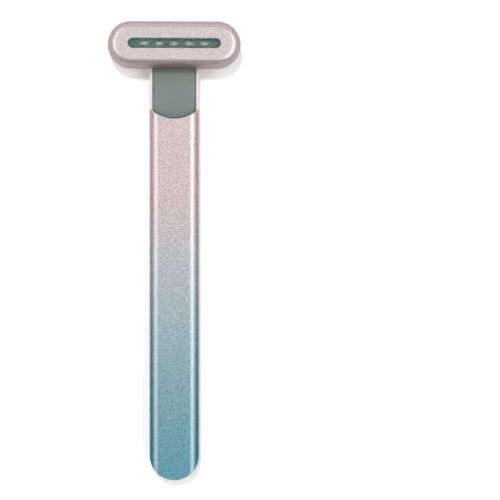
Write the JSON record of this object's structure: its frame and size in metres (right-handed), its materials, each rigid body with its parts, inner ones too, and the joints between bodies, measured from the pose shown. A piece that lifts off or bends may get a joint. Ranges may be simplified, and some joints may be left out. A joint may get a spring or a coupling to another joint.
{
  "type": "heated eye massager wand",
  "caption": "Slim T-shaped heated eye massager wand with a swivelling lit and vibrating head, back power button and charging port in the foot.",
  "frame": {"origin": "middle of the back of the wand, on the surface that it lies on", "axes": "+X across the handle, +Y along the handle towards the head, +Z out of the front face, away from the surface"},
  "size_m": [0.043, 0.1486, 0.014],
  "materials": {
    "tube_finish": "satin sparkle lacquer over aluminium, fading from rose at the neck to teal at the foot",
    "neck_plastic": "fine matte, grey-green",
    "plug_plastic": "fine matte, grey-teal",
    "sled_plastic": "moulded, dark grey",
    "circuit_board": "solder mask, green",
    "chip_black": "moulded, black",
    "cell_foil": "laminated foil pouch",
    "foam": "closed-cell foam",
    "wire_red": "extruded wire sheath",
    "wire_black": "extruded wire sheath",
    "wire_blue": "extruded wire sheath",
    "socket_steel": "drawn, nickel plated",
    "socket_plastic": "moulded, black",
    "screw_steel": "zinc plated",
    "turned_steel": "turned, bright",
    "nylon": "natural nylon",
    "button_plastic": "fine matte, grey-green",
    "head_finish": "satin sparkle lacquer, pale rose, over an aluminium shell",
    "lens_tint": "clear moulded lens with a light smoke tint",
    "led_board_green": "solder mask, dark green",
    "led_phosphor": "phosphor fill",
    "heater_polyimide": "polyimide film",
    "weight_metal": "sintered heavy metal",
    "base_plastic": "fine matte, rose grey",
    "gasket_rubber": "cut sheet, dark grey"
  },
  "bodies": {
    "handle": {"handle_sleeve": "tube_finish", "neck_insert": "neck_plastic", "end_plug": "plug_plastic", "battery_sled": "sled_plastic", "main_board": "circuit_board", "board_chips": "chip_black", "battery_cell": "cell_foil", "battery_pad": "foam", "battery_leads": "wire_red", "head_leads": "wire_black", "usb_shell": "socket_steel", "usb_tongue": "socket_plastic", "tact_switch": "socket_plastic", "board_screws": "screw_steel", "pivot_tube": "turned_steel", "pivot_washer": "nylon", "cone_washer": "turned_steel", "pivot_clip": "turned_steel", "pivot_screws": "screw_steel"},
    "button": {"power_button": "button_plastic", "switch_plunger": "nylon"},
    "head": {"head_cap": "head_finish", "window_lens": "lens_tint", "led_board": "led_board_green", "led_chips": "led_phosphor", "heater_film": "heater_polyimide", "thermistor": "chip_black", "heater_leads": "wire_red", "motor_can": "turned_steel", "motor_leads": "wire_blue", "head_base": "base_plastic", "head_gasket": "gasket_rubber", "head_screws": "screw_steel"},
    "motor_rotor": {"motor_shaft": "turned_steel", "motor_weight": "weight_metal"}
  },
  "joints": [
    {"name": "head_swivel", "type": "hinge", "parent": "handle", "child": "head", "pos_m": [0, 0.0668, 0.006], "axis": [0, 0, 1], "range_deg": [-90, 90]},
    {"name": "power_button_press", "type": "slide", "parent": "handle", "child": "button", "axis": [0, 0, 1], "range_m": [0, 0.00025], "stiffness_N_per_m": 1500},
    {"name": "motor_spin", "type": "hinge", "parent": "head", "child": "motor_rotor", "pos_m": [0.014, 0.07105, 0.0093], "axis": [1, 0, 0], "continuous": true}
  ]
}
